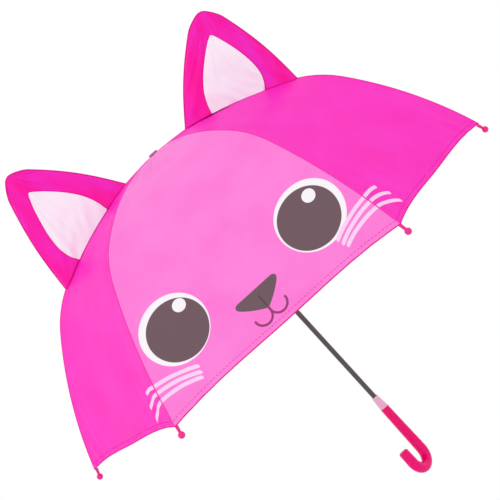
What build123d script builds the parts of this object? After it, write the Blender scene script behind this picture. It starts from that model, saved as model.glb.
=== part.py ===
"""Children's umbrella with two cloth ears: a manual six-rib frame on a steel shaft with a hook grip.

The model is in millimetres. +Z runs up the shaft, the front gore faces -Y, and the origin is on the
shaft's axis at the middle of the grip's straight length. The umbrella is drawn open.
"""
from build123d import *
import math
import os

# --- canopy and ribs ---------------------------------------------------------------------------
RIB_AZIMUTHS = {
    "right": 0,
    "back_right": 60,
    "back_left": 120,
    "left": 180,
    "front_left": 240,
    "front_right": 300,
}
HALF_GORE = 30.0                 # degrees from a rib to the middle of its gore
APEX_Z = 513.5                   # top of the cloth
PROFILE = ((456.0, 28.0), (160.0, 24.0), (610.0, 18.5))   # radius and turn of each arc, from the apex
HEM_TURN = sum(turn for _, turn in PROFILE)
CLOTH_THICKNESS = 0.6
CLOTH_START_TURN = 0.62          # leaves a hole for the shaft
SEAM_GAP = 0.2
MIDDLE_GAP = 0.15
RIB_DEPTH = (1.9, 4.1)           # rib's top and underside, below the outside of the cloth
RIB_WIDTH = 2.6
RIB_START_TURN = 1.0

# --- shaft, crown and cap ----------------------------------------------------------------------
SHAFT_RADIUS = 3.5
SHAFT_BORE = 2.9
SHAFT_BOTTOM = -30.0
CROWN_RADIUS = 10.5
CROWN_DEPTH = (1.0, 8.5)
NECK_RADIUS = 6.2
NECK_DEPTH = 15.0
CROWN_SLOT = 3.4
CROWN_CORE = 5.7
PIVOT_RADIUS = 8.0               # rib hinge, from the axis
PIVOT_DEPTH = 4.8                # rib hinge, below the apex
EYE_RADIUS = 1.9
WIRE_RADIUS = 0.70
RUNNING_GAP = 0.06
WIRE_GAP = 0.18                  # the wire is curved, so its eyes are wider
CAP_RADIUS = 7.3
CAP_HEIGHT = 3.0
ROSETTE_RADIUS = 10.5

# --- linkage -----------------------------------------------------------------------------------
JOINT_TURN = 25.5                # where the stretcher's clip sits along the rib
JOINT_DEPTH = 7.8
STRETCHER_LENGTH = 225.0
STRETCHER_WIDTH = 2.4
STRETCHER_HEIGHT = 2.8
STRETCHER_EYE = 2.0
RIVET_RADIUS = 0.9
TRUNNION_LENGTH = 5.0
RUNNER_PIVOT_RADIUS = 11.0
BALL_RADIUS = 4.5
BALL_REACH = 12.5                # ball's centre beyond the hem
CLOSED_BALL_RADIUS = 19.0        # ball's centre from the axis when the umbrella is closed
GORE_CLOSING = 31.0              # degrees that the middle of a gore turns down on closing

# --- runner and catches ------------------------------------------------------------------------
RUNNER_SLEEVE = 6.2
RUNNER_HEAD = 13.8
RUNNER_BELOW = 32.0
RUNNER_ABOVE = 3.0
CATCH_LENGTH = 26.0
CATCH_WIDTH = 2.4
CATCH_REACH = 5.9
CATCH_GAP = 0.4

# --- grip --------------------------------------------------------------------------------------
GRIP_RADII = (6.3, 7.5)          # under the collar and at the bend
GRIP_HALF_LENGTH = 38.5
HOOK_RADIUS = 19.0
HOOK_TAIL = 20.0
HOOK_TAIL_RADIUS = 7.0
HOOK_END_ROUND = 2.5
HOOK_TURN = 32.0                 # the hook's plane, from -Y towards -X
COLLAR_HEIGHT = 20.0
COLLAR_RADII = (6.3, 4.6)

# --- ears, in the plane of the side ribs: distance from the axis and height over the apex --------
EAR_TIP = (175.0, 107.0)
EAR_BASE = ((57.0, -3.0), (216.0, -54.0))
EAR_DEPTHS = (16.0, 42.0)        # how far the front and back panels' bases stand out from the rib
EAR_TIP_HALF = (15.0, 5.0)       # half length and depth of the blunt tip
EAR_BULGE = 9.0                  # how far the ear's two edges bow out
EAR_ROUND = 0.14                 # share of the ear's height that its tip is rounded over
EAR_SHARES = (1.3, 1.0, 0.75, 0.5, 0.3, 0.14, 0.07, 0.02)
EAR_CLOTH = 0.9
EAR_INLAY = ((165, 76), (179, 45), (186, 14), (169, -29), (90, -5), (111, 38), (136.5, 58.6))

# --- closure strap -----------------------------------------------------------------------------
STRAP_TURNS = (58.0, 69.0)
STRAP_START = 3.0
STRAP_WIDTH = 13.0
STUD_RADIUS = 4.0


def profile_point(turn, depth=0.0):
    """Point of the rib's profile, as (distance from the axis, height), at a slope of turn degrees."""
    r = 0.0
    z = APEX_Z
    passed = 0.0
    for radius, size in PROFILE:
        here = min(turn, passed + size)
        a, b = math.radians(passed), math.radians(here)
        r += radius * (math.sin(b) - math.sin(a))
        z += radius * (math.cos(b) - math.cos(a))
        passed += size
        if turn <= passed:
            break
    slope = math.radians(turn)
    return r - depth * math.sin(slope), z - depth * math.cos(slope)


def flat(point):
    """A 3-D point in the rib's plane, which is XZ at azimuth 0."""
    return (point[0], 0, point[1])


def profile_edges(depth, start, end):
    """The profile's arcs from one slope to another, at a depth below the cloth's outside."""
    stops = [start]
    passed = 0.0
    for _, size in PROFILE:
        passed += size
        if start < passed < end - 1e-6:
            stops.append(passed)
    stops.append(end)
    edges = []
    for a, b in zip(stops, stops[1:]):
        trio = [flat(profile_point(t, depth)) for t in (a, (a + b) / 2, b)]
        edges.append(ThreePointArc(*trio))
    return edges


def band(top, bottom, start, end):
    """Face in the rib's plane between two depths."""
    upper = profile_edges(top, start, end)
    lower = profile_edges(bottom, start, end)
    ends = [
        Line(flat(profile_point(turn, top)), flat(profile_point(turn, bottom)))
        for turn in (start, end)
    ]
    return Face(Wire(upper + lower + ends))


def along_y(radius, length, r, z):
    """Cylinder across the rib's plane, centred on it."""
    return Pos(r, 0, z) * Rot(90, 0, 0) * Cylinder(radius, length)


def gore_direction(side):
    """Level direction across a gore, from the rib at azimuth 0."""
    angle = math.radians(90 + HALF_GORE)
    return Vector(math.cos(angle), side * math.sin(angle), 0)


def half_gore(side):
    """Cloth from the rib at azimuth 0 to the middle of the gore on one side; level lines stay straight."""
    across = gore_direction(side)
    edge = band(0, CLOTH_THICKNESS, CLOTH_START_TURN, HEM_TURN)
    edge = Pos(*(across * SEAM_GAP)) * edge
    reach = profile_point(HEM_TURN)[0] / 2 + 5
    sheet = extrude(edge, amount=reach, dir=across)
    middle = Plane(origin=across * -MIDDLE_GAP, z_dir=across)
    return split(sheet, bisect_by=middle, keep=Keep.BOTTOM)


def rib():
    strip = extrude(band(*RIB_DEPTH, RIB_START_TURN, HEM_TURN), RIB_WIDTH / 2, both=True)
    pivot_z = APEX_Z - PIVOT_DEPTH
    eye = along_y(EYE_RADIUS, RIB_WIDTH, PIVOT_RADIUS, pivot_z)
    hole = along_y(WIRE_RADIUS + WIRE_GAP, RIB_WIDTH * 2, PIVOT_RADIUS, pivot_z)
    return strip + eye - hole


def end_frame():
    """Plane at the rib's end: x along the rib's axis, outward and down."""
    r, z = profile_point(HEM_TURN, sum(RIB_DEPTH) / 2)
    slope = math.radians(HEM_TURN)
    return Vector(r, 0, z), Vector(math.cos(slope), 0, -math.sin(slope))


def ball_tip():
    start, way = end_frame()
    neck = Plane(origin=start, z_dir=way) * Cone(
        2.3, 1.9, BALL_REACH - 3, align=(Align.CENTER, Align.CENTER, Align.MIN)
    )
    ball = Pos(*(start + way * BALL_REACH)) * Sphere(BALL_RADIUS)
    return neck + ball


JOINT = profile_point(JOINT_TURN, JOINT_DEPTH)
RUNNER_PIVOT_Z = JOINT[1] - math.sqrt(
    STRETCHER_LENGTH**2 - (JOINT[0] - RUNNER_PIVOT_RADIUS) ** 2
)


def turned(point, angle):
    """A point of the rib's plane after the rib has closed by an angle, in radians."""
    dr = point[0] - PIVOT_RADIUS
    dz = point[1] - (APEX_Z - PIVOT_DEPTH)
    r = PIVOT_RADIUS + dr * math.cos(angle) + dz * math.sin(angle)
    z = APEX_Z - PIVOT_DEPTH - dr * math.sin(angle) + dz * math.cos(angle)
    return r, z


def closing():
    """Rib's and stretcher's closing angles in radians, and the runner's travel down the shaft."""
    start, way = end_frame()
    ball = start + way * BALL_REACH
    dr = ball.X - PIVOT_RADIUS
    dz = APEX_Z - PIVOT_DEPTH - ball.Z
    distance = math.hypot(dr, dz)
    rib_angle = math.atan2(dr, dz) - math.asin((CLOSED_BALL_RADIUS - PIVOT_RADIUS) / distance)
    closed = turned(JOINT, rib_angle)
    open_tilt = math.asin((JOINT[0] - RUNNER_PIVOT_RADIUS) / STRETCHER_LENGTH)
    closed_tilt = math.asin((closed[0] - RUNNER_PIVOT_RADIUS) / STRETCHER_LENGTH)
    travel = RUNNER_PIVOT_Z - (closed[1] - STRETCHER_LENGTH * math.cos(closed_tilt))
    return rib_angle, rib_angle + open_tilt - closed_tilt, travel


RIB_CLOSING, STRETCHER_CLOSING, TRAVEL = closing()


def rib_joint():
    """Folded clip over the rib, and the rivet that the stretcher turns on."""
    r, z = profile_point(JOINT_TURN)
    slope = math.radians(JOINT_TURN)
    frame = Plane(
        origin=(r, 0, z),
        x_dir=(math.cos(slope), 0, -math.sin(slope)),
        z_dir=(math.sin(slope), 0, math.cos(slope)),
    )
    top, bottom, inner_top = -1.4, -10.0, -1.8
    outer = Pos(0, 0, (top + bottom) / 2) * Box(7.5, 4.7, top - bottom)
    inner = Pos(0, 0, (inner_top + bottom) / 2 - 0.5) * Box(9, 2.9, inner_top - bottom + 1)
    hole = Pos(0, 0, -JOINT_DEPTH) * Rot(90, 0, 0) * Cylinder(RIVET_RADIUS, 10)
    clip = frame * (outer - inner - hole)
    shank = along_y(RIVET_RADIUS - 0.03, 5.7, *JOINT)
    heads = [Pos(0, side * 2.75, 0) * along_y(1.6, 0.7, *JOINT) for side in (1, -1)]
    return Compound(children=[clip.solid(), (shank + heads).solid()])


def stretcher():
    """Flat steel strut with an eye for the rivet and a cross trunnion for the runner's notch."""
    foot = (RUNNER_PIVOT_RADIUS, RUNNER_PIVOT_Z)
    span = Vector(JOINT[0] - foot[0], 0, JOINT[1] - foot[1])
    middle = Vector(*flat(foot)) + span * 0.5
    bar = Plane(origin=middle, x_dir=(0, 1, 0), z_dir=span) * Box(
        STRETCHER_WIDTH, STRETCHER_HEIGHT, span.length
    )
    eyes = [along_y(STRETCHER_EYE, STRETCHER_WIDTH, *end) for end in (JOINT, foot)]
    hole = along_y(RIVET_RADIUS + RUNNING_GAP, 10, *JOINT)
    trunnion = along_y(RIVET_RADIUS, TRUNNION_LENGTH, *foot)
    return bar + eyes - hole + trunnion


def upright(radius, low, high):
    """Cylinder on the shaft's axis between two heights."""
    return Pos(0, 0, (low + high) / 2) * Cylinder(radius, high - low)


def crown():
    """Slotted hub on top of the shaft; the ribs' eyes turn in its slots."""
    top = APEX_Z - CROWN_DEPTH[0]
    head = upright(CROWN_RADIUS, APEX_Z - CROWN_DEPTH[1], top)
    hub = head + upright(NECK_RADIUS, APEX_Z - NECK_DEPTH, top)
    slot_length = CROWN_RADIUS
    for azimuth in RIB_AZIMUTHS.values():
        slot = Pos(CROWN_CORE + slot_length / 2, 0, APEX_Z - 4.5) * Box(slot_length, CROWN_SLOT, 12)
        hub -= Rot(0, 0, azimuth) * slot
    groove = Pos(0, 0, APEX_Z - PIVOT_DEPTH) * Torus(PIVOT_RADIUS, WIRE_RADIUS + 0.02)
    hub -= groove
    hub -= upright(SHAFT_RADIUS + 0.03, APEX_Z - 30, APEX_Z + 5)
    return hub - crown_pin(0.02)


def crown_wire():
    return Pos(0, 0, APEX_Z - PIVOT_DEPTH) * Torus(PIVOT_RADIUS, WIRE_RADIUS)


def crown_pin(extra=0.0):
    return Pos(0, 0, APEX_Z - 12) * Rot(0, 90, 30) * Cylinder(0.9 + extra, 13.4)


def ferrule_cap():
    """Low domed cap with a spigot that presses into the shaft."""
    low = APEX_Z + 0.35
    cap = upright(CAP_RADIUS, low, low + CAP_HEIGHT)
    cap = fillet(cap.edges().group_by(Axis.Z)[-1], 1.6)
    bore = upright(SHAFT_RADIUS + 0.05, low - 1, APEX_Z + 1.6)
    return cap - bore + upright(SHAFT_BORE - 0.05, APEX_Z - 7, low + 2)


def top_rosette():
    ring = upright(ROSETTE_RADIUS, APEX_Z + 0.03, APEX_Z + 0.32)
    return ring - upright(SHAFT_RADIUS + 0.05, APEX_Z - 1, APEX_Z + 1)


def catch(nose_z, way):
    """Sprung leaf in the shaft with a nose that stands out of its window. way is 1 if the nose's
    flat end faces up, -1 if it faces down."""
    outline = [
        (1.4, -CATCH_LENGTH),
        (2.2, -CATCH_LENGTH),
        (2.2, -8.0),
        (CATCH_REACH, -1.6),
        (CATCH_REACH, 0.0),
        (1.4, 0.0),
    ]
    points = [(0, y, nose_z + way * z) for y, z in outline]
    face = Face(Polyline(*points, close=True))
    return extrude(face, CATCH_WIDTH / 2, both=True)


def catch_window(nose_z, way):
    return Pos(0, 3, nose_z - way * 4.5) * Box(CATCH_WIDTH + 0.6, 6, 10.2)


CATCHES = {
    "top_catch": (RUNNER_PIVOT_Z - RUNNER_BELOW - CATCH_GAP, 1),
    "bottom_catch": (RUNNER_PIVOT_Z - TRAVEL + RUNNER_ABOVE + CATCH_GAP, -1),
}


def shaft_tube():
    tube = upright(SHAFT_RADIUS, SHAFT_BOTTOM, APEX_Z + 1.5)
    tube -= upright(SHAFT_BORE, SHAFT_BOTTOM - 1, APEX_Z + 2)
    for place in CATCHES.values():
        tube -= catch_window(*place)
    return tube - crown_pin(0.02)


def runner():
    """Sleeve with a slotted head; each slot is open below, with a shelf over the trunnion."""
    z = RUNNER_PIVOT_Z
    body = upright(RUNNER_SLEEVE, z - RUNNER_BELOW, z + RUNNER_ABOVE)
    head = upright(RUNNER_HEAD, z - 2.4, z + RUNNER_ABOVE)
    foot = upright(RUNNER_SLEEVE + 2.6, z - RUNNER_BELOW, z - RUNNER_BELOW + 4)
    head = fillet(head.edges().group_by(Axis.Z)[-1], 0.8)
    foot = fillet(foot.edges().filter_by(GeomType.CIRCLE), 1.2)
    slot_start, shelf = 8.3, z + 1.3
    narrow = Pos(slot_start + 5, 0, z) * Box(10, 3.1, 20)
    wide_low = z - 10
    wide = Pos(slot_start + 5, 0, (wide_low + shelf) / 2) * Box(10, 5.8, shelf - wide_low)
    for azimuth in RIB_AZIMUTHS.values():
        head -= Rot(0, 0, azimuth) * (narrow + wide)
    body = body + head + foot
    return body - upright(SHAFT_RADIUS + 0.08, z - 50, z + 20)


def grip():
    """Straight grip that thickens towards an open hook with a blunt end."""
    top, low = GRIP_RADII
    foot = (Align.CENTER, Align.CENTER, Align.MIN)
    straight = Pos(0, 0, -GRIP_HALF_LENGTH) * Cone(low, top, 2 * GRIP_HALF_LENGTH, align=foot)
    section = Plane(origin=(0, 0, -GRIP_HALF_LENGTH), z_dir=(0, 0, -1)) * Circle(low)
    middle = Axis((0, -HOOK_RADIUS, -GRIP_HALF_LENGTH), (-1, 0, 0))
    bend = revolve(section, axis=middle, revolution_arc=180)
    tail = Cone(low, HOOK_TAIL_RADIUS, HOOK_TAIL, align=foot)
    tail = fillet(tail.edges().sort_by(Axis.Z)[-1], HOOK_END_ROUND)
    hook = straight + bend + Pos(0, -2 * HOOK_RADIUS, -GRIP_HALF_LENGTH) * tail
    hook = Rot(0, 0, -HOOK_TURN) * hook
    return hook - upright(SHAFT_RADIUS + 0.03, SHAFT_BOTTOM - 0.5, GRIP_HALF_LENGTH + 1)


def grip_collar():
    cone = Pos(0, 0, GRIP_HALF_LENGTH) * Cone(
        *COLLAR_RADII, COLLAR_HEIGHT, align=(Align.CENTER, Align.CENTER, Align.MIN)
    )
    return cone - upright(SHAFT_RADIUS + 0.03, 0, GRIP_HALF_LENGTH + COLLAR_HEIGHT + 1)


def ear_cone(depth, grow):
    """Leaf-shaped horn over the ear's oval base, in the frame of the rib at azimuth 0."""
    tip = Vector(EAR_TIP[0], 0, APEX_Z + EAR_TIP[1])
    inner, outer = [Vector(r, 0, APEX_Z + z) for r, z in EAR_BASE]
    middle = (inner + outer) * 0.5
    chord = outer - inner
    up = chord.cross(Vector(0, 1, 0)).normalized()
    sections = []
    tip_length, tip_depth = EAR_TIP_HALF
    for share in EAR_SHARES:
        centre = tip + (middle - tip) * share
        plane = Plane(origin=centre, x_dir=chord, z_dir=up)
        rounding = math.sqrt(1 - (1 - min(1, share / EAR_ROUND)) ** 2)
        bow = EAR_BULGE * math.sin(math.pi * min(1, share))
        half_length = tip_length + (chord.length / 2 - tip_length) * share + bow
        half_depth = tip_depth + (depth - tip_depth) * share
        sections.append(plane * Ellipse(half_length * rounding + grow, half_depth * rounding + grow))
    return loft(sections, ruled=True)


def under_canopy(side):
    """Everything below the cloth between the rib at azimuth 0 and its neighbour on one side."""
    clear = -0.35
    end = 60.0
    edges = profile_edges(clear, 0, end)
    top = flat(profile_point(0, clear))
    rim = flat(profile_point(end, clear))
    low = APEX_Z - 320
    outline = edges + [
        Line(rim, (rim[0], 0, low)),
        Line((rim[0], 0, low), (0, 0, low)),
        Line((0, 0, low), top),
    ]
    return extrude(Face(Wire(outline)), amount=260, dir=gore_direction(side))


def ear_panel(side, depth):
    """One of the ear's cloth panels, on the +Y or -Y side of the rib at azimuth 0."""
    shell = ear_cone(depth, 0) - Pos(0, 0, -EAR_CLOTH) * ear_cone(depth, -EAR_CLOTH)
    gap = Plane(origin=(0, side * MIDDLE_GAP, 0), z_dir=(0, side, 0))
    return largest(split(shell, bisect_by=gap, keep=Keep.TOP) - under_canopy(side))


def largest(shape):
    return shape.solids().sort_by(SortBy.VOLUME)[-1]


def ear_inlay(side):
    """Leaf of white cloth on the ear's front panel."""
    skin = ear_cone(EAR_DEPTHS[0], 1.2) - ear_cone(EAR_DEPTHS[0], 0.15)
    corners = [(r, 0, APEX_Z + z) for r, z in EAR_INLAY]
    prism = extrude(Face(Polyline(*corners, close=True)), amount=120, dir=(0, side, 0))
    return largest((skin & prism) - under_canopy(side))


def tie_strap():
    """Closure strap, lying on the cloth beside its seam."""
    across = gore_direction(1)
    edge = Pos(*(across * STRAP_START)) * band(-0.95, -0.25, *STRAP_TURNS)
    return extrude(edge, amount=STRAP_WIDTH, dir=across)


def strap_stud():
    turn = STRAP_TURNS[1] - 1.2
    r, z = profile_point(turn, -1.0)
    normal = Vector(math.sin(math.radians(turn)), 0, math.cos(math.radians(turn)))
    across = gore_direction(1)
    facing = across.cross(Vector(math.cos(math.radians(turn)), 0, -math.sin(math.radians(turn))))
    if facing.dot(normal) < 0:
        facing = facing * -1
    centre = Vector(r, 0, z) + across * (STRAP_START + STRAP_WIDTH / 2) + facing * 0.05
    return Plane(origin=centre, z_dir=facing) * Cylinder(
        STUD_RADIUS, 1.4, align=(Align.CENTER, Align.CENTER, Align.MIN)
    )


def build():
    """Every node of the open umbrella, by name."""
    nodes = {
        "shaft_tube": shaft_tube(),
        "crown": crown(),
        "crown_wire": crown_wire(),
        "crown_pin": crown_pin(),
        "ferrule_cap": ferrule_cap(),
        "top_rosette": top_rosette(),
        "runner": runner(),
        "grip": grip(),
        "grip_collar": grip_collar(),
    }
    for name, place in CATCHES.items():
        nodes[name] = catch(*place)
    per_rib = {
        "rib": rib(),
        "stretcher": stretcher(),
        "rib_joint": rib_joint(),
        "ball_tip": ball_tip(),
        "gore_a": half_gore(1),
        "gore_b": half_gore(-1),
    }
    for name, azimuth in RIB_AZIMUTHS.items():
        for piece, shape in per_rib.items():
            stem, _, half = piece.partition("gore_")
            node = f"gore_{name}_{half}" if half else f"{stem}_{name}"
            nodes[node] = Rot(0, 0, azimuth) * shape
    for name, side in (("right", -1), ("left", 1)):
        turn = Rot(0, 0, RIB_AZIMUTHS[name])
        nodes[f"ear_front_{name}"] = turn * ear_panel(side, EAR_DEPTHS[0])
        nodes[f"ear_back_{name}"] = turn * ear_panel(-side, EAR_DEPTHS[1])
        nodes[f"ear_inlay_{name}"] = turn * ear_inlay(side)
    turn = Rot(0, 0, RIB_AZIMUTHS["back_left"])
    nodes["tie_strap"] = turn * tie_strap()
    nodes["strap_stud"] = turn * strap_stud()
    return nodes


os.makedirs("parts", exist_ok=True)
for node, shape in build().items():
    export_step(shape, f"parts/{node}.step")
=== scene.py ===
"""Looks of the children's umbrella: cloth canopy with a cat face, cloth ears, steel frame, hook grip.

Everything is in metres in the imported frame: +Z up the shaft, the face towards -Y.
"""
import math

import bpy
import numpy as np
from mathutils import Matrix, Vector, noise


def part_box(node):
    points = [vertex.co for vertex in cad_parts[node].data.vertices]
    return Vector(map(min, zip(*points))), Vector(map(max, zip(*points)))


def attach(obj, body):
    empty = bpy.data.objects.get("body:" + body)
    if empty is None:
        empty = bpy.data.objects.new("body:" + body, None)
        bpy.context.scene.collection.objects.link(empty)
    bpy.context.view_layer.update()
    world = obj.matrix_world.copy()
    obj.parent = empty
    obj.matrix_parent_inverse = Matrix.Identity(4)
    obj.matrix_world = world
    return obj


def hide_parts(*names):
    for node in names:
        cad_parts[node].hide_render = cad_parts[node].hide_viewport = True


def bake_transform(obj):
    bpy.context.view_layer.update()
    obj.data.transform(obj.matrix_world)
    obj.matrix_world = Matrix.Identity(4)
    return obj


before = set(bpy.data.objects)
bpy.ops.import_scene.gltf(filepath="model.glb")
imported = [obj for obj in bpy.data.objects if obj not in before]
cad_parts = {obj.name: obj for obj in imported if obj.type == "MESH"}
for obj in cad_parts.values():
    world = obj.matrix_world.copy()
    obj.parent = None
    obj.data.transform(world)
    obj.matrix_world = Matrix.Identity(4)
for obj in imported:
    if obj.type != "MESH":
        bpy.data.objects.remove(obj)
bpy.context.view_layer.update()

# --- the canopy's shape, as in the CAD model --------------------------------------------------------
RIBS = {                        # azimuths in degrees
    "right": 0, "back_right": 60, "back_left": 120, "left": 180, "front_left": 240, "front_right": 300,
}
PROFILE = ((0.456, 28.0), (0.160, 24.0), (0.610, 18.5))   # radius in metres and turn in degrees
HEM_TURN = sum(turn for _, turn in PROFILE)
START_TURN = 0.62
APEX_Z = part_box("gore_right_a")[1][2]
HALF_GORE = 30.0
CLOTH = 0.0005
HEM_CLOTH = 0.0012
HEM_WIDTH = 0.008
HEM_FADE = 0.0015               # over which the doubled hem thins to single cloth
HEM_PROUD = 0.0003              # how far the hem's outside stands off the cloth's
SAG = 0.006
ROWS = 110                      # along a rib
COLUMNS = 26                    # from a seam to the middle of its gore
ROW_CROWDING = 1.15             # above 1, rows lie closer together near the hem
FRONT = 270                     # azimuth of the printed gore
SHARP_EDGE = 50                 # degrees between faces from which an edge is shaded sharp

# --- thread: radii of the beads and the size of a hem stitch ---------------------------------------
SEAM_RADIUS, HEM_SHADE_BEAD_RADIUS, STRAP_THREAD_RADIUS = 0.0008, 0.0009, 0.0003
PIPING_RADIUS, INLAY_SEAM_RADIUS = 0.0013, 0.0006
BEAD_RESOLUTION = 4
SEAM_START_TURN = 1.6
HEM_STITCHES = 34               # along half a gore
STITCH_ENDS = (0.22, 0.80)      # as shares of the pitch
STITCH_INSET = 0.0015           # from the hem's upper edge
STITCH_HALF_WIDTH, STITCH_LIFT, STITCH_HEIGHT = 0.00032, 0.00045, 0.00028

# --- closure strap: where it lies on its rib, its place beside the seam and its make ---------------
STRAP_TURNS, STRAP_START, STRAP_WIDTH = (58.0, 69.0), 0.003, 0.013
STRAP_LIFT, STRAP_CLOTH = 0.00095, 0.0007
STRAP_ROWS, STRAP_COLUMNS = 60, 13

# --- ears, in the side ribs' plane: distance from the axis, height over the apex --------------------
EAR_TIPS = {"right": (0.1785, 0.1005), "left": (0.1725, 0.1130)}
EAR_BASE = ((0.057, -0.003), (0.216, -0.054))
EAR_DEPTHS = {"front": 0.016, "back": 0.042}
EAR_TIP_HALF = (0.0135, 0.005)  # half length and depth of the blunt tip
EAR_BULGE = 0.0065              # how far the two edges bow out
EAR_ROUND = 0.14                # share of the ear's height that its tip is rounded over
INLAY_START = 0.255             # share of the ear's height at which the white inlay's tip stands
INLAY_CLOTH = 0.0006
EAR_ROWS, EAR_COLUMNS = 70, 61
INLAY_ROWS, INLAY_COLUMNS = 60, 40
TIP_SHARE = 0.0008              # where the panels start, just short of a point
EAR_TUCK = 0.004                # share of the ear's height that is sunk in the canopy

# --- the printed face, in metres across from its middle and down from the apex --------------------
FACE_MIDDLE = -0.0025
EYE_RIMS = ((-0.1062, 0.3925, 0.0462), (0.1071, 0.4010, 0.0462))
EYE_DISCS = ((-0.1036, 0.3960, 0.0408), (0.1041, 0.4030, 0.0408))
EYE_GLINTS = ((-0.0835, 0.3725, 0.0090), (0.1215, 0.3810, 0.0090))
NOSE_TOP, NOSE_HALF_WIDTH, NOSE_CORNER = 0.4235, 0.0345, 0.0095
MOUTH_Y, MOUTH_RADIUS, MOUTH_HALF_WIDTH = 0.4565, 0.0118, 0.0015
WHISKER_HALF_WIDTH = 0.0025
PRINT_EDGE = 0.0004             # over which a printed colour ends
OFF_PRINT = 5.0                 # a place across the face where nothing is printed
WHISKERS = (
    # crown across, crown down, bend per metre, start and end across
    (0.184, 0.4315, 3.4, 0.113, 0.210),
    (0.174, 0.4415, 4.3, 0.115, 0.223),
    (0.166, 0.4520, 4.5, 0.118, 0.227),
)

WEAVE = 5200.0                  # threads in radians to a metre

# --- stage -----------------------------------------------------------------------------------------
FLOOR_RADIUS, FLOOR_Z, FLOOR_SIDES = 2.7, -1.0, 96
FLOOR_FADE = (1.0, 2.6)
LIGHT_TARGET = (0, 0, 0.35)
CAMERA_AZIMUTH, CAMERA_ELEVATION, CAMERA_ROLL = 3.39, 2.60, -42.33
CAMERA_DISTANCE, CAMERA_LENS = 2.0769, 107.94
CAMERA_TARGET = Vector((0.0095, 0.0004, 0.3269))
SENSOR_WIDTH = 36


# === shapes ========================================================================================
def unit(degrees):
    """Level unit vector at an azimuth."""
    a = math.radians(degrees)
    return Vector((math.cos(a), math.sin(a), 0))


def profile(turn):
    """(distance from the axis, height, arc length from the apex) of the rib's line at a slope."""
    r, z, length, passed = 0.0, APEX_Z, 0.0, 0.0
    for radius, size in PROFILE:
        here = min(turn, passed + size)
        a, b = math.radians(passed), math.radians(here)
        r += radius * (math.sin(b) - math.sin(a))
        z += radius * (math.cos(b) - math.cos(a))
        length += radius * (b - a)
        passed += size
        if turn <= passed:
            break
    return r, z, length


LENGTH = profile(HEM_TURN)[2]
HEM_HALF = profile(HEM_TURN)[0] / 2
TABLE_TURNS = np.linspace(0, HEM_TURN, 800)
TABLE = np.array([profile(t) for t in TABLE_TURNS])


def canopy_height(point):
    """Height of the cloth over a point, before the sag."""
    level = Vector((point[0], point[1], 0))
    reach = max(level.dot(unit(azimuth + HALF_GORE)) for azimuth in RIBS.values())
    return float(np.interp(reach / math.cos(math.radians(HALF_GORE)), TABLE[:, 0], TABLE[:, 1]))


def hem_rise(across):
    """How far the hem stands above the ball tips' line, from a seam at 0 to the gore's middle at 1."""
    return 0.0110 * (1 - (1 - across) ** 2.6) - 0.0040 * across * across * (3 - 2 * across)


def gore_azimuth(azimuth, side):
    """Direction of the middle of the gore on one side of a rib."""
    return (azimuth + side * HALF_GORE) % 360


def is_front(azimuth, side):
    return round(gore_azimuth(azimuth, side)) == FRONT


def half_name(name, side):
    """A half gore is named after its rib: a lies anticlockwise of it, seen from above."""
    return f"{name}_{'a' if side == 1 else 'b'}"


def cloth_point(azimuth, side, share, across):
    """A point of the cloth's outside, its normal, its distance from the gore's middle and its arc
    length. share runs from the apex to the hem, across from the rib to the middle of the gore.
    """
    end = LENGTH - hem_rise(across)
    start = profile(START_TURN)[2]
    length = start + (end - start) * share
    turn = float(np.interp(length, TABLE[:, 2], TABLE_TURNS))
    r, z, _ = profile(turn)
    middle = unit(azimuth + side * HALF_GORE)
    sideways = unit(azimuth + side * (90 + HALF_GORE))
    lateral = r / 2 * (1 - across)
    slope = math.radians(turn)
    normal = middle * math.sin(slope) + Vector((0, 0, math.cos(slope)))
    point = unit(azimuth) * r + Vector((0, 0, z)) + sideways * (r / 2 * across)
    rise = share * (1 - 0.35 * share)
    spread = 1 - (1 - across) ** 2
    sag = SAG * spread * 1.45 * rise
    point -= normal * (sag + ripples(azimuth, side, lateral, length, across, share))
    return point, normal, lateral, length


def ripples(azimuth, side, lateral, length, across, share):
    """Soft creases: fine ones that fan out from the apex, and drag lines towards the ball tips."""
    number = gore_azimuth(azimuth, side) / 60
    signed = lateral * side
    free = min(1.0, 5 * across)
    angle = signed / max(length, 0.03)
    fan = 0.4 - abs(noise.noise(Vector((angle * 8, length * 4.0, number * 3.7))))
    fan *= 0.0060 * math.exp(-(((length - 0.085) / 0.05) ** 2))
    broad = noise.noise(Vector((signed * 9, length * 6, number * 5.1 + 9))) * 0.0016
    corner = max(0.0, (share - 0.72) / 0.28)
    drag = math.sin(signed * 210 + length * 60 + number) * 0.0009 * corner * (1 - across) ** 2
    return free * (fan + broad * min(1, 3 * share) + drag)


def grid_faces(rows, columns, offset=0, flip=False):
    faces = []
    for i in range(rows - 1):
        for j in range(columns - 1):
            a = offset + i * columns + j
            face = (a, a + 1, a + columns + 1, a + columns)
            faces.append(face[::-1] if flip else face)
    return faces


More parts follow.
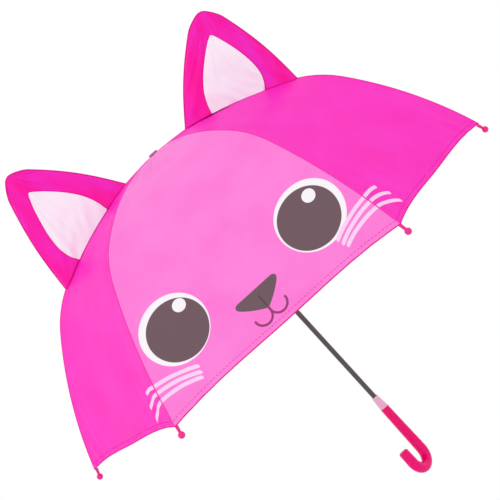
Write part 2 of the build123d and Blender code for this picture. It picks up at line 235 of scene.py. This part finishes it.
def closed_sheet(name, outer, inner, uvs, flip):
    """Cloth from two grids of points, outside and inside, joined along their edges. uvs maps a UV
    map's name to its grid.
    """
    rows, columns = outer.shape[:2]
    count = rows * columns
    points = np.concatenate([outer.reshape(-1, 3), inner.reshape(-1, 3)])
    faces = grid_faces(rows, columns, 0, flip) + grid_faces(rows, columns, count, not flip)
    rim = [(0, j) for j in range(columns)] + [(i, columns - 1) for i in range(1, rows)]
    rim += [(rows - 1, j) for j in range(columns - 2, -1, -1)]
    rim += [(i, 0) for i in range(rows - 2, 0, -1)]
    ids = [i * columns + j for i, j in rim]
    for a, b in zip(ids, ids[1:] + ids[:1]):
        face = (b, a, a + count, b + count)
        faces.append(face[::-1] if flip else face)
    mesh = bpy.data.meshes.new(name)
    mesh.from_pydata(points.tolist(), [], faces)
    loops = np.empty(len(mesh.loops), int)
    mesh.loops.foreach_get("vertex_index", loops)
    for map_name, grid in uvs.items():
        flat = np.concatenate([grid.reshape(-1, 2)] * 2)
        layer = mesh.uv_layers.new(name=map_name)
        layer.data.foreach_set("uv", flat[loops].ravel().astype(np.float32))
    mesh.shade_smooth()
    mesh.set_sharp_from_angle(angle=math.radians(SHARP_EDGE))
    return link(name, mesh)


def link(name, data):
    thing = bpy.data.objects.new(name, data)
    bpy.context.scene.collection.objects.link(thing)
    return thing


def tube(name, points, radius):
    """Round bead through the points, as a mesh."""
    curve = bpy.data.curves.new(name, "CURVE")
    curve.dimensions = "3D"
    curve.bevel_depth = radius
    curve.bevel_resolution = BEAD_RESOLUTION
    curve.use_fill_caps = True
    spline = curve.splines.new("POLY")
    spline.points.add(len(points) - 1)
    for target, point in zip(spline.points, points):
        target.co = (*point, 1)
    holder = link(name + "_curve", curve)
    mesh = bpy.data.meshes.new_from_object(holder)
    bpy.data.objects.remove(holder)
    mesh.name = name
    mesh.shade_smooth()
    return link(name, mesh)


# === materials =====================================================================================
class Term:
    """A number inside a material; arithmetic on it adds Math nodes."""

    def __init__(self, tree, value):
        self.tree = tree
        self.value = value

    def math(self, operation, *others, clamp=False):
        node = self.tree.nodes.new("ShaderNodeMath")
        node.operation = operation
        node.use_clamp = clamp
        for socket, term in zip(node.inputs, (self, *others)):
            value = term.value if isinstance(term, Term) else term
            if isinstance(value, (int, float)):
                socket.default_value = value
            else:
                self.tree.links.new(value, socket)
        return Term(self.tree, node.outputs[0])

    def __add__(self, other):
        return self.math("ADD", other)

    def __sub__(self, other):
        return self.math("SUBTRACT", other)

    def __mul__(self, other):
        return self.math("MULTIPLY", other)

    def __abs__(self):
        return self.math("ABSOLUTE")

    def larger(self, other):
        return self.math("MAXIMUM", other)

    def smaller(self, other):
        return self.math("MINIMUM", other)

    def length(self, other):
        return (self * self + other * other).math("SQRT")

    def clamped(self):
        return self.math("ADD", 0.0, clamp=True)

    def inside(self):
        """1 where this distance is negative and 0 where it is positive."""
        return (self * (-1 / PRINT_EDGE) + 0.5).clamped()


def material(name, colour, roughness, **sockets):
    """A Principled material; returns it with its tree and shader."""
    made = bpy.data.materials.new(name)
    made.use_nodes = True
    tree = made.node_tree
    shader = tree.nodes["Principled BSDF"]
    shader.inputs["Base Color"].default_value = (*colour, 1)
    shader.inputs["Roughness"].default_value = roughness
    for socket, value in sockets.items():
        shader.inputs[socket.replace("_", " ")].default_value = value
    return made, tree, shader


def node(tree, kind, inputs=None, **settings):
    """A node with its inputs linked or set, and its properties."""
    made = tree.nodes.new(kind)
    for name, value in settings.items():
        setattr(made, name, value)
    for name, value in (inputs or {}).items():
        if isinstance(value, bpy.types.NodeSocket):
            tree.links.new(value, made.inputs[name])
        else:
            made.inputs[name].default_value = value
    return made


def mix_colour(tree, factor, first, second):
    """Two colours, or colour sockets, mixed by a factor."""
    made = tree.nodes.new("ShaderNodeMix")
    made.data_type = "RGBA"
    for socket, value in ((made.inputs[0], factor), (made.inputs[6], first), (made.inputs[7], second)):
        if isinstance(value, Term):
            value = value.value
        if isinstance(value, bpy.types.NodeSocket):
            tree.links.new(value, socket)
        elif isinstance(value, (int, float)):
            socket.default_value = value
        else:
            socket.default_value = (*value, 1)
    return made.outputs[2]


def uv_terms(tree, name):
    """The two coordinates of a UV map, and the map's own socket."""
    uv = node(tree, "ShaderNodeUVMap", uv_map=name)
    split = node(tree, "ShaderNodeSeparateXYZ", {"Vector": uv.outputs[0]})
    return Term(tree, split.outputs[0]), Term(tree, split.outputs[1]), uv.outputs[0]


def face_print(tree, base):
    """The cat's eyes, nose, mouth and whiskers, printed on the cloth. x runs across the face from its
    middle, y down from the apex, both along the cloth in metres.
    """
    x, y, _ = uv_terms(tree, "print")
    dark = (0.150, 0.088, 0.108)
    fold = (0.085, 0.048, 0.062)
    mouth = (0.290, 0.045, 0.160)
    white = (0.88, 0.84, 0.88)
    whisker = (0.90, 0.60, 0.84)
    colour = base
    for discs, tint in ((EYE_RIMS, white), (EYE_DISCS, dark), (EYE_GLINTS, white)):
        for middle_x, middle_y, radius in discs:
            disc = (x - middle_x).length(y - middle_y) - radius
            colour = mix_colour(tree, disc.inside(), colour, tint)
    across = abs(x - FACE_MIDDLE)
    # mouth: two hooks that meet in the crease under the nose
    hook = abs((across - MOUTH_RADIUS).length(y - MOUTH_Y) - MOUTH_RADIUS) - MOUTH_HALF_WIDTH
    hook = hook.larger((y - MOUTH_Y + 0.0015) * -1)
    crease = (across - MOUTH_HALF_WIDTH).larger(abs(y - (MOUTH_Y - 0.005)) - 0.005)
    colour = mix_colour(tree, hook.smaller(crease).inside(), colour, mouth)
    # nose: a shield with a flat top, bowed sides and round corners
    depth = y - NOSE_TOP
    flank = across + depth * 0.60 + depth * depth * 21.0 - (NOSE_HALF_WIDTH - NOSE_CORNER)
    flank = flank * 0.80
    top = depth * -1 + NOSE_CORNER
    nose = top.larger(0.0).length(flank.larger(0.0)) + top.larger(flank).smaller(0.0) - NOSE_CORNER
    colour = mix_colour(tree, nose.inside(), colour, dark)
    line = (across - 0.0008).larger(abs(y - (NOSE_TOP + 0.018)) - 0.009)
    colour = mix_colour(tree, line.inside(), colour, fold)
    across = abs(x)
    for crown_x, crown_y, bend, start, end in WHISKERS:
        reach = across - crown_x
        line = abs(y - crown_y - reach * reach * bend)
        tilt = (reach * (2 * bend)).length(1.0)
        along = (abs(across - (start + end) / 2) - (end - start) / 2).larger(0.0)
        stroke = line.math("DIVIDE", tilt).length(along) - WHISKER_HALF_WIDTH
        colour = mix_colour(tree, stroke.inside(), colour, whisker)
    return colour


def cloth(name, colour, deep, printed=False, streak=None):
    """Woven polyester taffeta: fine weave, faint creases and a soft sheen; streak is a second tone
    in long folds.
    """
    made, tree, shader = material(
        name, colour, 0.50, Sheen_Weight=0.03, Sheen_Roughness=0.45, Specular_IOR_Level=0.14
    )
    shader.inputs["Sheen Tint"].default_value = (1.0, 0.75, 0.92, 1)
    x, y, vector = uv_terms(tree, "cloth")
    # painted highlight and shade: large random blotches towards the deeper tone stand in for the soft
    # highlights and shade across the cloth
    painted_light_noise = node(tree, "ShaderNodeTexNoise", {"Vector": vector, "Scale": 14.0, "Detail": 4.0})
    tone = ((Term(tree, painted_light_noise.outputs["Fac"]) - 0.38) * 1.6).clamped()
    base = mix_colour(tree, tone, colour, deep)
    weave = (x * WEAVE).math("SINE") * (y * WEAVE).math("SINE")
    base = mix_colour(tree, weave * 0.06 + 0.06, base, deep)
    if streak:
        stretched = node(tree, "ShaderNodeMapping", {"Vector": vector, "Scale": (34, 7, 1)})
        bands = node(
            tree, "ShaderNodeTexNoise", {"Vector": stretched.outputs[0], "Scale": 1.0, "Detail": 3.0}
        )
        share = (Term(tree, bands.outputs["Fac"]) * 3.2 - 1.25).clamped()
        base = mix_colour(tree, share, base, streak)
    if printed:
        base = face_print(tree, base)
    tree.links.new(base, shader.inputs["Base Color"])
    crease = node(tree, "ShaderNodeTexNoise", {"Vector": vector, "Scale": 60.0, "Detail": 6.0})
    height = weave * 0.25 + crease.outputs["Fac"]
    bump = node(tree, "ShaderNodeBump", {"Height": height.value, "Strength": 0.22, "Distance": 0.0006})
    tree.links.new(bump.outputs[0], shader.inputs["Normal"])
    rough = node(
        tree, "ShaderNodeMapRange", {"Value": painted_light_noise.outputs["Fac"], "To Min": 0.44, "To Max": 0.58}
    )
    tree.links.new(rough.outputs[0], shader.inputs["Roughness"])
    return made


def object_noise(tree, scale, detail=3.0, stretch=(1, 1, 1)):
    """Noise fixed to the object, in its own coordinates."""
    where = node(tree, "ShaderNodeTexCoord")
    mapping = node(tree, "ShaderNodeMapping", {"Vector": where.outputs["Object"], "Scale": stretch})
    made = node(
        tree, "ShaderNodeTexNoise", {"Vector": mapping.outputs[0], "Scale": scale, "Detail": detail}
    )
    return made.outputs["Fac"]


def plastic(name, colour, worn, roughness, coat):
    """Moulded plastic: faint flow in the colour, fine scuffs in the gloss, an uneven skin."""
    made, tree, shader = material(name, colour, roughness, Coat_Weight=coat, Coat_Roughness=0.12)
    shader.inputs["Specular IOR Level"].default_value = 0.14
    shader.inputs["Subsurface Weight"].default_value = 0.08
    shader.inputs["Subsurface Scale"].default_value = 0.002
    flow = object_noise(tree, 40.0, 4.0)
    tree.links.new(mix_colour(tree, Term(tree, flow) * 0.7, colour, worn), shader.inputs["Base Color"])
    scuff = object_noise(tree, 420.0, 6.0, (1, 1, 0.25))
    rough = node(
        tree, "ShaderNodeMapRange",
        {"Value": scuff, "To Min": roughness * 0.85, "To Max": roughness * 1.2},
    )
    tree.links.new(rough.outputs[0], shader.inputs["Roughness"])
    bump = node(tree, "ShaderNodeBump", {"Height": scuff, "Strength": 0.04, "Distance": 0.0001})
    tree.links.new(bump.outputs[0], shader.inputs["Normal"])
    return made


def steel(name, colour, stretch, roughness):
    """Drawn and plated steel, with draw lines along the piece and a few dull spots."""
    made, tree, shader = material(name, colour, roughness, Metallic=1.0)
    lines = object_noise(tree, 900.0, 5.0, stretch)
    spots = object_noise(tree, 60.0, 3.0)
    dull = tuple(c * 0.62 for c in colour)
    base = mix_colour(tree, Term(tree, spots) * 0.8, colour, dull)
    tree.links.new(base, shader.inputs["Base Color"])
    rough = node(
        tree, "ShaderNodeMapRange",
        {"Value": lines, "To Min": roughness - 0.08, "To Max": roughness + 0.15},
    )
    tree.links.new(rough.outputs[0], shader.inputs["Roughness"])
    bump = node(tree, "ShaderNodeBump", {"Height": lines, "Strength": 0.12, "Distance": 0.0001})
    tree.links.new(bump.outputs[0], shader.inputs["Normal"])
    return made


PALE = (0.92, 0.215, 0.66)
PALE_DEEP = (0.90, 0.135, 0.56)
MAGENTA = (0.95, 0.012, 0.540)
MAGENTA_DEEP = (0.93, 0.000, 0.410)
CRIMSON = (0.93, 0.002, 0.370)
CRIMSON_DEEP = (0.86, 0.000, 0.210)
VIOLET = (0.84, 0.016, 0.520)
WHITE_CLOTH = (0.90, 0.83, 0.90)
WHITE_DEEP = (0.87, 0.76, 0.88)

mats = {
    "cloth_front": cloth("cloth_front", PALE, PALE_DEEP, printed=True),
    "cloth_side": cloth("cloth_side", MAGENTA, MAGENTA_DEEP, printed=True),
    "ear_cloth": cloth("ear_cloth", CRIMSON, CRIMSON_DEEP, streak=VIOLET),
    "cloth_white": cloth("cloth_white", WHITE_CLOTH, WHITE_DEEP),
    "strap_cloth": plastic("strap_tape", MAGENTA, CRIMSON, 0.6, 0.0),
    "thread": plastic("thread", (0.74, 0.003, 0.27), (0.62, 0.002, 0.20), 0.7, 0.0),
    "thread_pale": plastic("thread_pale", (0.86, 0.045, 0.46), (0.78, 0.03, 0.40), 0.7, 0.0),
    "tip_plastic": plastic("tip_plastic", (0.86, 0.03, 0.30), (0.78, 0.01, 0.22), 0.30, 0.15),
    "grip_plastic": plastic("grip_plastic", (0.86, 0.000, 0.185), (0.74, 0.000, 0.130), 0.28, 0.06),
    "collar_plastic": plastic("collar_plastic", (0.80, 0.46, 0.63), (0.84, 0.56, 0.70), 0.40, 0.2),
    "runner_plastic": plastic("runner_plastic", (0.86, 0.84, 0.86), (0.80, 0.74, 0.80), 0.35, 0.3),
    "cap_plastic": plastic("cap_plastic", (0.42, 0.17, 0.33), (0.36, 0.12, 0.27), 0.30, 0.5),
    # the shaft's very dark base colour is painted reflection: it stands in for the dark line that the
    # plated tube reflects
    "shaft_steel": steel("shaft_steel", (0.12, 0.105, 0.115), (1, 1, 0.02), 0.24),
    "rib_steel": steel("rib_steel", (0.46, 0.45, 0.46), (0.3, 0.3, 0.3), 0.34),
}


# === canopy ========================================================================================
def print_coordinates(azimuth, side, lateral, length, seam):
    """Place on the printed face: the gores beside the front one carry on across its seams."""
    if is_front(azimuth, side):
        return (-side * lateral), length
    if azimuth == RIBS["front_right"]:
        return 2 * seam - lateral, length
    if azimuth == RIBS["front_left"]:
        return lateral - 2 * seam, length
    return OFF_PRINT, length


def half_gore(name, azimuth, side):
    """Half of one gore, from its rib to its middle, with a doubled hem."""
    shape = (ROWS, COLUMNS)
    outer, inner = np.zeros((*shape, 3)), np.zeros((*shape, 3))
    weave, printed = np.zeros((*shape, 2)), np.zeros((*shape, 2))
    for i in range(ROWS):
        share = 1 - (1 - i / (ROWS - 1)) ** ROW_CROWDING
        for j in range(COLUMNS):
            across = j / (COLUMNS - 1)
            point, normal, lateral, length = cloth_point(azimuth, side, share, across)
            to_hem = (1 - share) * LENGTH
            hem = 1.0 if to_hem < HEM_WIDTH else max(0.0, 1 - (to_hem - HEM_WIDTH) / HEM_FADE)
            outer[i, j] = point + normal * HEM_PROUD * hem
            inner[i, j] = point - normal * (CLOTH + (HEM_CLOTH - CLOTH) * hem)
            weave[i, j] = (lateral * side, length)
            seam = lateral / (1 - across) if across < 1 else profile_seam(length)
            printed[i, j] = print_coordinates(azimuth, side, lateral, length, seam)
    half = half_name(name, side)
    uvs = {"cloth": weave, "print": printed}
    sheet = closed_sheet(f"cloth_{half}", outer, inner, uvs, side == 1)
    slot = "cloth_front" if is_front(azimuth, side) else "cloth_side"
    dress(sheet, mats[slot])
    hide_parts(f"gore_{half}")
    blend_half(sheet, azimuth, side)
    sheet_area(outer)


def profile_seam(length):
    """Half the gore's width at an arc length."""
    turn = float(np.interp(length, TABLE[:, 2], TABLE_TURNS))
    return profile(turn)[0] / 2


def sheet_area(grid):
    """Area of a grid of points, as two triangles a cell."""
    a = grid[1:, :-1] - grid[:-1, :-1]
    b = grid[:-1, 1:] - grid[:-1, :-1]
    c = grid[1:, :-1] - grid[1:, 1:]
    d = grid[:-1, 1:] - grid[1:, 1:]
    halves = np.linalg.norm(np.cross(a, b), axis=2) + np.linalg.norm(np.cross(c, d), axis=2)
    return float(halves.sum() / 2)


def dress(thing, mat):
    thing.data.materials.clear()
    thing.data.materials.append(mat)


def blend_half(sheet, azimuth, side):
    """Bakes the sheet's placement into its mesh."""
    apex = Vector((0, 0, APEX_Z))
    start = unit(azimuth + side * (90 + HALF_GORE)) * -HEM_HALF + apex
    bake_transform(sheet)


def seam_bead(name, azimuth):
    """Felled seam over a rib, slightly proud of the cloth."""
    points = []
    for turn in np.linspace(SEAM_START_TURN, HEM_TURN, 90):
        r, z, _ = profile(turn)
        sunk = 0.0004 * math.sin(math.radians(turn))
        points.append(unit(azimuth) * (r - sunk) + Vector((0, 0, z - 0.0003)))
    seam = tube(f"seam_{name}", points, SEAM_RADIUS)
    pale = name in ("front_left", "front_right")
    dress(seam, mats["thread_pale" if pale else "thread"])
    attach(seam, f"rib_{name}")


def stitches(name, azimuth, side):
    """Dashes of thread round the hem, on the cloth's outside."""
    share = 1 - (HEM_WIDTH - STITCH_INSET) / LENGTH
    faces, points = [], []
    for k in range(HEM_STITCHES):
        ends = []
        for shift in STITCH_ENDS:
            across = (k + shift) / HEM_STITCHES
            point, normal, _, _ = cloth_point(azimuth, side, share, across)
            ends.append(point + normal * STITCH_LIFT)
        along = (ends[1] - ends[0]).normalized()
        _, normal, _, _ = cloth_point(azimuth, side, share, (k + 0.5) / HEM_STITCHES)
        down = normal.cross(along) * STITCH_HALF_WIDTH
        lift = normal * STITCH_HEIGHT
        first = len(points)
        for end in ends:
            points += [end + down, end + lift, end - down, end - lift]
        for a in range(4):
            b = (a + 1) % 4
            faces.append((first + a, first + b, first + 4 + b, first + 4 + a))
        faces.append((first + 3, first + 2, first + 1, first))
        faces.append((first + 4, first + 5, first + 6, first + 7))
    mesh = bpy.data.meshes.new("stitch")
    mesh.from_pydata([tuple(p) for p in points], [], faces)
    mesh.update()
    row = link(f"hem_stitch_{half_name(name, side)}", mesh)
    dress(row, mats["thread_pale" if is_front(azimuth, side) else "thread"])
    blend_half(row, azimuth, side)


def hem_shade_bead(name, azimuth, side):
    """The hem's rolled edge, as a bead in the dark thread colour on every gore: the edge is real, its
    darkness is painted shade along the hem.
    """
    points = []
    for k in range(61):
        point, normal, _, _ = cloth_point(azimuth, side, 1.0, k / 60)
        points.append(point - normal * (HEM_CLOTH - HEM_PROUD) / 2)
    edge = tube(f"hem_edge_{half_name(name, side)}", points, HEM_SHADE_BEAD_RADIUS)
    # dark thread colour even on the pale front gore: painted shade of the rolled hem
    dress(edge, mats["thread"])
    blend_half(edge, azimuth, side)


for name, azimuth in RIBS.items():
    for side in (1, -1):
        half_gore(name, azimuth, side)
        stitches(name, azimuth, side)
        hem_shade_bead(name, azimuth, side)
    seam_bead(name, azimuth)


def tie_strap(name, azimuth):
    """Closure strap of folded cloth beside a seam, with a row of thread along each edge."""
    rows, columns = STRAP_ROWS, STRAP_COLUMNS
    outer, weave = np.zeros((rows, columns, 3)), np.zeros((rows, columns, 2))
    middle, sideways = unit(azimuth + HALF_GORE), unit(azimuth + 90 + HALF_GORE)
    for i in range(rows):
        turn = STRAP_TURNS[0] + (STRAP_TURNS[1] - STRAP_TURNS[0]) * i / (rows - 1)
        r, z, length = profile(turn)
        slope = math.radians(turn)
        normal = middle * math.sin(slope) + Vector((0, 0, math.cos(slope)))
        for j in range(columns):
            lateral = STRAP_WIDTH * j / (columns - 1)
            rounding = 0.0002 * abs(2 * j / (columns - 1) - 1) ** 6
            ripple = 0.00006 * math.sin(length * 420 + lateral * 90)
            place = unit(azimuth) * r + Vector((0, 0, z)) + sideways * (STRAP_START + lateral)
            outer[i, j] = place + normal * (STRAP_LIFT - rounding + ripple)
            weave[i, j] = (lateral, length)
    facing = np.array(middle) * 0.85 + np.array((0, 0, 0.5))
    inner = outer - facing / np.linalg.norm(facing) * STRAP_CLOTH
    strap = closed_sheet("closure_strap", outer, inner, {"cloth": weave}, True)
    dress(strap, mats["cloth_side"])
    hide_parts("tie_strap")
    length = profile(STRAP_TURNS[1])[2] - profile(STRAP_TURNS[0])[2]
    sheet_area(outer)
    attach(strap, f"rib_{name}")
    for j in (1, columns - 2):
        points = [Vector(p) for p in outer[1:-1, j]]
        thread = tube(f"closure_strap_thread_{j}", points, STRAP_THREAD_RADIUS)
        dress(thread, mats["thread"])
        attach(thread, f"rib_{name}")


tie_strap("back_left", RIBS["back_left"])


# === ears ==========================================================================================
class Ear:
    """One ear, about the side rib that it stands on. A panel's point is given by share, 0 at the
    ear's tip and 1 at the chord of its base, and by an angle, 0 at the outer edge and 180 at the inner.
    """

    def __init__(self, name, front_side):
        self.name = name
        self.body = f"rib_{name}"
        out = unit(RIBS[name])
        radius, height = EAR_TIPS[name]
        self.tip = out * radius + Vector((0, 0, APEX_Z + height))
        inner, outer = [out * r + Vector((0, 0, APEX_Z + z)) for r, z in EAR_BASE]
        self.middle = (inner + outer) / 2
        self.chord = (outer - inner).normalized()
        self.half = (outer - inner).length / 2
        self.sides = {
            "front": unit(RIBS[name] + 90 * front_side),
            "back": unit(RIBS[name] - 90 * front_side),
        }
        self.front_side = front_side

    def point(self, panel, share, angle):
        """A point of a panel's outside."""
        rounding = math.sqrt(max(0.0, 1 - (1 - min(share, EAR_ROUND) / EAR_ROUND) ** 2))
        bow = EAR_BULGE * math.sin(math.pi * min(1, share))
        length = EAR_TIP_HALF[0] + (self.half - EAR_TIP_HALF[0]) * share + bow
        depth = EAR_TIP_HALF[1] + (EAR_DEPTHS[panel] - EAR_TIP_HALF[1]) * share
        a = math.radians(angle)
        along, out = math.cos(a), math.sin(a)
        level = depth * rounding * out + self.folds(panel, share, along, out)
        centre = self.tip + (self.middle - self.tip) * share
        return centre + self.chord * (length * rounding * along) + self.sides[panel] * level

    def folds(self, panel, share, along, out):
        """Pull lines that run from the tip and from the base's corners, and soft dents."""
        free = min(1, out * 2.2) * min(1, share * 6)
        seed = 3.1 * self.front_side + (7 if panel == "back" else 0)
        dents = noise.noise(Vector((along * 1.7, share * 3.1, seed))) * 0.0026
        rays = noise.noise(Vector((along * 6.5 / (0.35 + share), share * 1.2, seed + 5))) * 0.0022
        near_base = max(0.0, share - 0.55)
        drags = noise.noise(Vector((along * 3 + share * 2, share * 9 - along * 5, seed + 9))) * 0.0055
        return free * (dents + rays + drags * near_base)

    def base_share(self, panel, angle):
        """The share at which a line down the panel meets the canopy."""
        low, high = 0.4, 1.6
        for _ in range(26):
            share = (low + high) / 2
            point = self.point(panel, share, angle)
            if point.z > canopy_height(point):
                low = share
            else:
                high = share
        return low + EAR_TUCK

    def grid(self, panel, shares, angles):
        """Outside points over shares of the way down, from the tip at 0 to the canopy at 1."""
        points = np.zeros((len(shares), len(angles), 3))
        for j, angle in enumerate(angles):
            end = self.base_share(panel, angle)
            for i, share in enumerate(shares):
                points[i, j] = self.point(panel, max(TIP_SHARE, share * end), angle)
        return points


def inlay_edges(down):
    """Where the white leaf's two edges run, as places along the panel; down is 0 at its tip."""
    spread = (1 - (1 - down) ** 2.4) ** 0.7
    return -0.62 * spread + 0.13 * down**3 - 0.02, 0.62 * spread - 0.19 * down**4 + 0.02


def plane_uv(grid, ear):
    """UVs of a grid of points, as seen square to the ear."""
    flat = grid.reshape(-1, 3) - np.array(ear.middle)
    up = np.cross(ear.chord, ear.sides["front"])
    uv = np.stack([flat @ np.array(ear.chord), flat @ up], axis=1)
    return uv.reshape(*grid.shape[:2], 2)


def ear_panel(ear, panel):
    """One side of an ear, in the canopy's dark cloth."""
    shares = [(i / (EAR_ROWS - 1)) ** 1.25 for i in range(EAR_ROWS)]
    angles = [180 * j / (EAR_COLUMNS - 1) for j in range(EAR_COLUMNS)]
    outer = ear.grid(panel, shares, angles)
    inner = outer - np.array(ear.sides[panel]) * CLOTH
    flip = (ear.front_side == 1) == (panel == "front")
    sheet = closed_sheet(
        f"ear_cloth_{panel}_{ear.name}", outer, inner, {"cloth": plane_uv(outer, ear)}, flip
    )
    dress(sheet, mats["ear_cloth"])
    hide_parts(f"ear_{panel}_{ear.name}")
    sheet_area(outer)
    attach(sheet, ear.body)


def ear_inlay(ear):
    """Leaf of white cloth sewn on the front panel, down to the canopy, with a turned edge."""
    rows, columns = INLAY_ROWS, INLAY_COLUMNS
    outer = np.zeros((rows, columns, 3))
    for j in range(columns):
        for i in range(rows):
            down = (i / (rows - 1)) ** 1.15
            left, right = inlay_edges(down)
            along = left + (right - left) * j / (columns - 1)
            angle = math.degrees(math.acos(along))
            end = ear.base_share("front", angle)
            share = INLAY_START + (end - INLAY_START) * down
            edge = min(j, columns - 1 - j) / (columns - 1)
            lift = INLAY_CLOTH + 0.0006 * math.sin(math.pi * min(0.5, edge * 5))
            outer[i, j] = ear.point("front", share, angle) + ear.sides["front"] * lift
    inner = outer - np.array(ear.sides["front"]) * INLAY_CLOTH
    uvs = {"cloth": plane_uv(outer, ear)}
    sheet = closed_sheet(f"ear_white_{ear.name}", outer, inner, uvs, ear.front_side == 1)
    dress(sheet, mats["cloth_white"])
    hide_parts(f"ear_inlay_{ear.name}")
    sheet_area(outer)
    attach(sheet, ear.body)
    for side in (0, columns - 1):
        points = [Vector(p) - ear.sides["front"] * 0.0002 for p in outer[::2, side]]
        bead(f"ear_white_seam_{ear.name}_{side and 1}", points, INLAY_SEAM_RADIUS, ear.body)


def bead(name, points, radius, body):
    """Thread or piping on an ear."""
    piece = tube(name, points, radius)
    dress(piece, mats["thread"])
    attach(piece, body)


def ear_seams(ear):
    """Turned seam round the ear's two edges and over its tip, and the seams to the canopy."""
    edges = []
    for angle in (180, 0):
        end = ear.base_share("front", angle)
        down = [TIP_SHARE + (end - TIP_SHARE) * (k / 50) ** 1.6 for k in range(51)]
        edges.append([ear.point("front", share, angle) for share in down])
    bead(f"ear_piping_{ear.name}", edges[0][::-1] + edges[1][1:], PIPING_RADIUS, ear.body)
    for panel in ("front", "back"):
        points = []
        for angle in range(0, 181, 3):
            share = ear.base_share(panel, angle) - EAR_TUCK
            points.append(ear.point(panel, share, angle))
        bead(f"ear_seam_{panel}_{ear.name}", points, SEAM_RADIUS, ear.body)


for ear in (Ear("right", -1), Ear("left", 1)):
    ear_panel(ear, "front")
    ear_panel(ear, "back")
    ear_inlay(ear)
    ear_seams(ear)


# === the CAD pieces' materials =====================================================================
CAD_FINISH = {
    "grip_collar": "collar_plastic",
    "grip": "grip_plastic",
    "ball_tip": "tip_plastic",
    "strap_stud": "tip_plastic",
    "runner": "runner_plastic",
    "crown_": "rib_steel",
    "crown": "runner_plastic",
    "ferrule_cap": "cap_plastic",
    "top_rosette": "strap_cloth",
    "tie_strap": "strap_cloth",
    "shaft_tube": "shaft_steel",
}
for node_name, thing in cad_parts.items():
    finish = next((f for start, f in CAD_FINISH.items() if node_name.startswith(start)), "rib_steel")
    thing.data.materials.clear()
    thing.data.materials.append(mats[finish])
    thing.data.shade_smooth()


# === stage =========================================================================================
def floor():
    """Pale round floor under the umbrella, which fades out towards its edge."""
    mesh = bpy.data.meshes.new("floor")
    ring = [unit(360 * k / FLOOR_SIDES) * FLOOR_RADIUS for k in range(FLOOR_SIDES)]
    mesh.from_pydata(ring, [], [tuple(range(FLOOR_SIDES))])
    disc = link("floor", mesh)
    disc.location = (0, 0, FLOOR_Z)
    made, tree, shader = material("floor", (0.9, 0.9, 0.9), 0.8)
    tone = object_noise(tree, 3.0)
    base = mix_colour(tree, Term(tree, tone) * 0.3, (0.88, 0.88, 0.88), (0.85, 0.85, 0.855))
    tree.links.new(base, shader.inputs["Base Color"])
    where = node(tree, "ShaderNodeTexCoord")
    far = node(tree, "ShaderNodeVectorMath", {0: where.outputs["Object"]}, operation="LENGTH")
    fade = node(
        tree, "ShaderNodeMapRange",
        {
            "Value": far.outputs["Value"],
            "From Min": FLOOR_FADE[0], "From Max": FLOOR_FADE[1],
            "To Min": 1.0, "To Max": 0.0,
        },
        interpolation_type="SMOOTHSTEP",
    )
    tree.links.new(fade.outputs[0], shader.inputs["Alpha"])
    mesh.materials.append(made)


def area_light(name, place, size, power):
    """Square lamp aimed at the middle of the umbrella."""
    data = bpy.data.lights.new(name, "AREA")
    data.size = size
    data.energy = power
    lamp = link(name, data)
    lamp.location = place
    lamp.rotation_euler = (Vector(LIGHT_TARGET) - Vector(place)).to_track_quat("-Z", "Y").to_euler()


def camera():
    """Camera by direction, distance and roll about its own axis."""
    a, e, roll = (math.radians(v) for v in (CAMERA_AZIMUTH, CAMERA_ELEVATION, CAMERA_ROLL))
    back = Vector((math.sin(a) * math.cos(e), -math.cos(a) * math.cos(e), math.sin(e)))
    right = Vector((math.cos(a), math.sin(a), 0))
    up = back.cross(right)
    turned = right * math.cos(roll) + up * math.sin(roll)
    top = up * math.cos(roll) - right * math.sin(roll)
    data = bpy.data.cameras.new("camera")
    data.lens = CAMERA_LENS
    data.sensor_width = SENSOR_WIDTH
    thing = link("camera", data)
    axes = Matrix((turned, top, back)).transposed().to_4x4()
    thing.matrix_world = Matrix.Translation(CAMERA_TARGET + back * CAMERA_DISTANCE) @ axes
    bpy.context.scene.camera = thing


world = bpy.data.worlds.new("studio")
world.use_nodes = True
world.node_tree.nodes["Background"].inputs[0].default_value = (1, 1, 1, 1)
world.node_tree.nodes["Background"].inputs[1].default_value = 1.0
bpy.context.scene.world = world
bpy.context.scene.view_settings.view_transform = "Standard"
floor()
area_light("key", (-1.6, -2.0, 2.2), 1.2, 10)
area_light("fill", (2.2, -1.6, 0.8), 1.6, 2)
camera()
